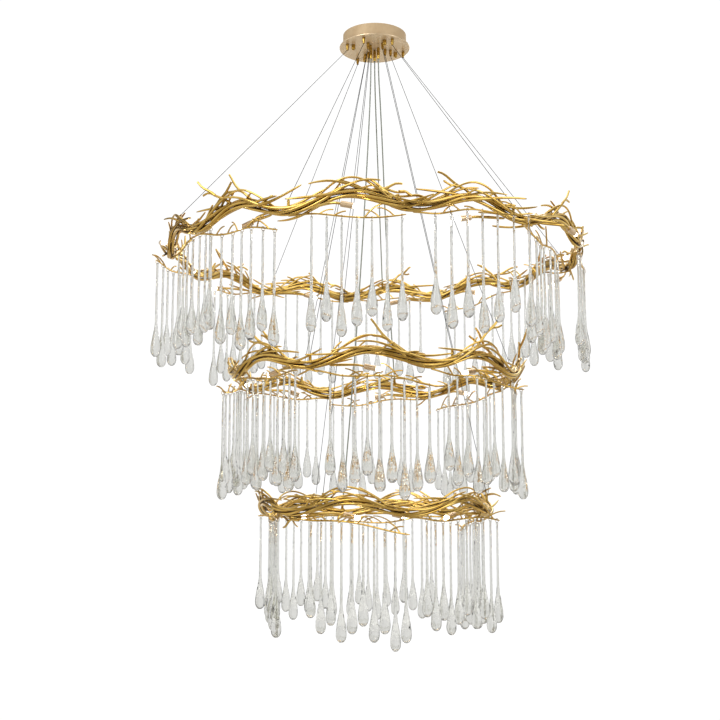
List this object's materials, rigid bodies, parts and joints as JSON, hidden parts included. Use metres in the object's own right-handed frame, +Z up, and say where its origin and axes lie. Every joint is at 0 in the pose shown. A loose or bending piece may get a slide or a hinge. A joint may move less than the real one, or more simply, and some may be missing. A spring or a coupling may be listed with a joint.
{
  "type": "glass chandelier",
  "caption": "Tiered ceiling chandelier: wavy rings of gilded twigs hung on steel wires from a round canopy, carrying long clear glass drops and small lamps.",
  "frame": {"origin": "centre of the canopy on the ceiling, in the plane of the bracket's screw holes", "axes": "+Z up into the ceiling, -Y towards the picture's viewer, +X to the viewer's right"},
  "size_m": [1.2138, 1.2064, 1.6778],
  "materials": {
    "zinc_steel": "zinc plated",
    "champagne_metal": "satin champagne gold",
    "mirror_gold": "polished",
    "terminal_plastic": "moulded",
    "brass": "polished",
    "gilded_twig": "satin gilt, worn brighter on the ridges",
    "steel_wire": "stranded",
    "clear_cord": "clear sheath",
    "socket_ceramic": "ceramic",
    "bulb_glass": "frosted capsule, lit",
    "drop_glass": "clear hand-drawn glass"
  },
  "bodies": {
    "canopy": {"ceiling_bracket": "zinc_steel", "canopy_shell": "champagne_metal", "canopy_plate": "mirror_gold", "terminal_block": "terminal_plastic", "cap_nuts": "brass", "gripper_barrels": "brass", "cord_glands": "brass", "upper_wires": "steel_wire", "upper_power_cord": "clear_cord", "middle_wires": "steel_wire", "middle_power_cord": "clear_cord", "lower_wires": "steel_wire", "lower_power_cord": "clear_cord"},
    "upper_ring": {"upper_branches": "gilded_twig", "upper_hanger_twigs": "gilded_twig", "upper_wire_anchors": "brass", "upper_lamp_sleeves": "brass", "upper_lamp_sockets": "socket_ceramic", "upper_bulbs": "bulb_glass"},
    "upper_release": {"upper_gripper_collars": "brass"},
    "upper_drops_01": {"upper_drops_01": "drop_glass"},
    "upper_drops_02": {"upper_drops_02": "drop_glass"},
    "upper_drops_03": {"upper_drops_03": "drop_glass"},
    "upper_drops_04": {"upper_drops_04": "drop_glass"},
    "upper_drops_05": {"upper_drops_05": "drop_glass"},
    "upper_drops_06": {"upper_drops_06": "drop_glass"},
    "upper_drops_07": {"upper_drops_07": "drop_glass"},
    "upper_drops_08": {"upper_drops_08": "drop_glass"},
    "upper_drops_09": {"upper_drops_09": "drop_glass"},
    "upper_drops_10": {"upper_drops_10": "drop_glass"},
    "upper_drops_11": {"upper_drops_11": "drop_glass"},
    "upper_drops_12": {"upper_drops_12": "drop_glass"},
    "middle_ring": {"middle_branches": "gilded_twig", "middle_hanger_twigs": "gilded_twig", "middle_wire_anchors": "brass", "middle_lamp_sleeves": "brass", "middle_lamp_sockets": "socket_ceramic", "middle_bulbs": "bulb_glass"},
    "middle_release": {"middle_gripper_collars": "brass"},
    "middle_drops_01": {"middle_drops_01": "drop_glass"},
    "middle_drops_02": {"middle_drops_02": "drop_glass"},
    "middle_drops_03": {"middle_drops_03": "drop_glass"},
    "middle_drops_04": {"middle_drops_04": "drop_glass"},
    "middle_drops_05": {"middle_drops_05": "drop_glass"},
    "middle_drops_06": {"middle_drops_06": "drop_glass"},
    "middle_drops_07": {"middle_drops_07": "drop_glass"},
    "middle_drops_08": {"middle_drops_08": "drop_glass"},
    "lower_ring": {"lower_branches": "gilded_twig", "lower_hanger_twigs": "gilded_twig", "lower_wire_anchors": "brass", "lower_lamp_sleeves": "brass", "lower_lamp_sockets": "socket_ceramic", "lower_bulbs": "bulb_glass"},
    "lower_release": {"lower_gripper_collars": "brass"},
    "lower_drops_01": {"lower_drops_01": "drop_glass"},
    "lower_drops_02": {"lower_drops_02": "drop_glass"},
    "lower_drops_03": {"lower_drops_03": "drop_glass"},
    "lower_drops_04": {"lower_drops_04": "drop_glass"},
    "lower_drops_05": {"lower_drops_05": "drop_glass"},
    "lower_drops_06": {"lower_drops_06": "drop_glass"}
  },
  "joints": [
    {"name": "upper_height", "type": "slide", "parent": "canopy", "child": "upper_ring", "axis": [0, 0, 1], "range_m": [0, 0.15], "deforming": ["upper_wires", "upper_power_cord"]},
    {"name": "upper_release_press", "type": "slide", "parent": "canopy", "child": "upper_release", "axis": [0, 0, 1], "range_m": [0, 0.0025], "stiffness_N_per_m": 300},
    {"name": "upper_swing_01", "type": "hinge", "parent": "upper_ring", "child": "upper_drops_01", "pos_m": [0.0876, -0.5531, -0.66748], "axis": [-0.961, -0.2687, -0.0659], "range_deg": [-6, 6]},
    {"name": "upper_swing_02", "type": "hinge", "parent": "upper_ring", "child": "upper_drops_02", "pos_m": [0.35242, -0.4352, -0.66748], "axis": [0.4652, 0.8782, -0.1108], "range_deg": [-6, 6]},
    {"name": "upper_swing_03", "type": "hinge", "parent": "upper_ring", "child": "upper_drops_03", "pos_m": [0.5228, -0.20069, -0.66748], "axis": [-0.2483, -0.9684, 0.0221], "range_deg": [-6, 6]},
    {"name": "upper_swing_04", "type": "hinge", "parent": "upper_ring", "child": "upper_drops_04", "pos_m": [0.5531, 0.0876, -0.66748], "axis": [-0.5277, 0.8417, 0.1142], "range_deg": [-6, 6]},
    {"name": "upper_swing_05", "type": "hinge", "parent": "upper_ring", "child": "upper_drops_05", "pos_m": [0.4352, 0.35242, -0.66748], "axis": [0.7087, -0.6935, 0.1296], "range_deg": [-6, 6]},
    {"name": "upper_swing_06", "type": "hinge", "parent": "upper_ring", "child": "upper_drops_06", "pos_m": [0.20069, 0.5228, -0.66748], "axis": [-0.9993, -0.0364, 0.0127], "range_deg": [-6, 6]},
    {"name": "upper_swing_07", "type": "hinge", "parent": "upper_ring", "child": "upper_drops_07", "pos_m": [-0.0876, 0.5531, -0.66748], "axis": [0.961, 0.2687, -0.0659], "range_deg": [-6, 6]},
    {"name": "upper_swing_08", "type": "hinge", "parent": "upper_ring", "child": "upper_drops_08", "pos_m": [-0.35242, 0.4352, -0.66748], "axis": [-0.4652, -0.8782, -0.1108], "range_deg": [-6, 6]},
    {"name": "upper_swing_09", "type": "hinge", "parent": "upper_ring", "child": "upper_drops_09", "pos_m": [-0.5228, 0.20069, -0.66748], "axis": [0.2483, 0.9684, 0.0221], "range_deg": [-6, 6]},
    {"name": "upper_swing_10", "type": "hinge", "parent": "upper_ring", "child": "upper_drops_10", "pos_m": [-0.5531, -0.0876, -0.66748], "axis": [0.5277, -0.8417, 0.1142], "range_deg": [-6, 6]},
    {"name": "upper_swing_11", "type": "hinge", "parent": "upper_ring", "child": "upper_drops_11", "pos_m": [-0.4352, -0.35242, -0.66748], "axis": [-0.7087, 0.6935, 0.1296], "range_deg": [-6, 6]},
    {"name": "upper_swing_12", "type": "hinge", "parent": "upper_ring", "child": "upper_drops_12", "pos_m": [-0.20069, -0.5228, -0.66748], "axis": [0.9993, 0.0364, 0.0127], "range_deg": [-6, 6]},
    {"name": "middle_height", "type": "slide", "parent": "canopy", "child": "middle_ring", "axis": [0, 0, 1], "range_m": [0, 0.15], "deforming": ["middle_wires", "middle_power_cord"]},
    {"name": "middle_release_press", "type": "slide", "parent": "canopy", "child": "middle_release", "axis": [0, 0, 1], "range_m": [0, 0.0025], "stiffness_N_per_m": 300},
    {"name": "middle_swing_01", "type": "hinge", "parent": "middle_ring", "child": "middle_drops_01", "pos_m": [0.13588, -0.36343, -1.00548], "axis": [-0.8024, -0.5903, 0.0873], "range_deg": [-6, 6]},
    {"name": "middle_swing_02", "type": "hinge", "parent": "middle_ring", "child": "middle_drops_02", "pos_m": [0.35307, -0.1609, -1.00548], "axis": [-0.1505, -0.988, 0.0347], "range_deg": [-6, 6]},
    {"name": "middle_swing_03", "type": "hinge", "parent": "middle_ring", "child": "middle_drops_03", "pos_m": [0.36343, 0.13588, -1.00548], "axis": [0.5879, -0.7991, 0.1262], "range_deg": [-6, 6]},
    {"name": "middle_swing_04", "type": "hinge", "parent": "middle_ring", "child": "middle_drops_04", "pos_m": [0.1609, 0.35307, -1.00548], "axis": [0.9871, -0.1503, 0.0545], "range_deg": [-6, 6]},
    {"name": "middle_swing_05", "type": "hinge", "parent": "middle_ring", "child": "middle_drops_05", "pos_m": [-0.13588, 0.36343, -1.00548], "axis": [0.8054, 0.5925, 0.0149], "range_deg": [-6, 6]},
    {"name": "middle_swing_06", "type": "hinge", "parent": "middle_ring", "child": "middle_drops_06", "pos_m": [-0.35307, 0.1609, -1.00548], "axis": [0.15, 0.9848, 0.0873], "range_deg": [-6, 6]},
    {"name": "middle_swing_07", "type": "hinge", "parent": "middle_ring", "child": "middle_drops_07", "pos_m": [-0.36343, -0.13588, -1.00548], "axis": [-0.5922, 0.805, 0.0347], "range_deg": [-6, 6]},
    {"name": "middle_swing_08", "type": "hinge", "parent": "middle_ring", "child": "middle_drops_08", "pos_m": [-0.1609, -0.35307, -1.00548], "axis": [-0.9807, 0.1493, 0.1262], "range_deg": [-6, 6]},
    {"name": "lower_height", "type": "slide", "parent": "canopy", "child": "lower_ring", "axis": [0, 0, 1], "range_m": [0, 0.15], "deforming": ["lower_wires", "lower_power_cord"]},
    {"name": "lower_release_press", "type": "slide", "parent": "canopy", "child": "lower_release", "axis": [0, 0, 1], "range_m": [0, 0.0025], "stiffness_N_per_m": 300},
    {"name": "lower_swing_01", "type": "hinge", "parent": "lower_ring", "child": "lower_drops_01", "pos_m": [0.08379, -0.29222, -1.36148], "axis": [-0.7695, -0.6381, 0.0272], "range_deg": [-6, 6]},
    {"name": "lower_swing_02", "type": "hinge", "parent": "lower_ring", "child": "lower_drops_02", "pos_m": [0.29497, -0.07354, -1.36148], "axis": [0.1669, -0.9799, 0.1094], "range_deg": [-6, 6]},
    {"name": "lower_swing_03", "type": "hinge", "parent": "lower_ring", "child": "lower_drops_03", "pos_m": [0.21118, 0.21868, -1.36148], "axis": [0.936, -0.3469, 0.059], "range_deg": [-6, 6]},
    {"name": "lower_swing_04", "type": "hinge", "parent": "lower_ring", "child": "lower_drops_04", "pos_m": [-0.08379, 0.29222, -1.36148], "axis": [0.7698, 0.6383, 0.008], "range_deg": [-6, 6]},
    {"name": "lower_swing_05", "type": "hinge", "parent": "lower_ring", "child": "lower_drops_05", "pos_m": [-0.29497, 0.07354, -1.36148], "axis": [-0.1678, 0.9854, 0.0272], "range_deg": [-6, 6]},
    {"name": "lower_swing_06", "type": "hinge", "parent": "lower_ring", "child": "lower_drops_06", "pos_m": [-0.21118, -0.21868, -1.36148], "axis": [-0.932, 0.3454, 0.1094], "range_deg": [-6, 6]}
  ]
}
